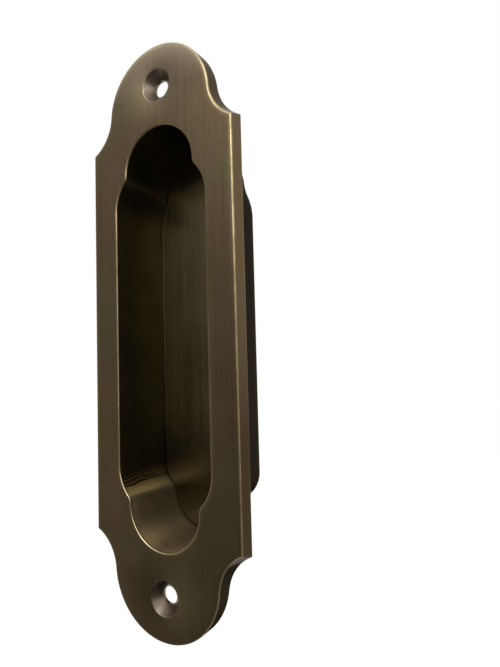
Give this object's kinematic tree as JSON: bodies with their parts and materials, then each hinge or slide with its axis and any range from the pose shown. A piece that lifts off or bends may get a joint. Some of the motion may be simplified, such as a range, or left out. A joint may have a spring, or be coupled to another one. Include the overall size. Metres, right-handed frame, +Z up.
{
  "type": "flush pull",
  "caption": "Antiqued brass flush pull for a sliding door: arched faceplate with a shouldered finger opening, a deep cup behind it and a countersunk screw hole in each arch.",
  "frame": {"origin": "midway between the two screw holes, where they come out of the back of the faceplate's web; the face of the door lies 1.7 mm further in", "axes": "+Z up along the length of the faceplate, -Y out of the door towards the hand, +Y into the door, +X across the faceplate"},
  "size_m": [0.049, 0.0223, 0.163],
  "materials": {
    "cast_brass": "satin",
    "strip_brass": "satin",
    "sheet_brass": "satin",
    "filler_metal": "matte"
  },
  "bodies": {
    "root": {"faceplate": "cast_brass", "surround": "strip_brass", "back_plate": "sheet_brass", "front_braze": "filler_metal", "rear_braze": "filler_metal"}
  },
  "joints": []
}
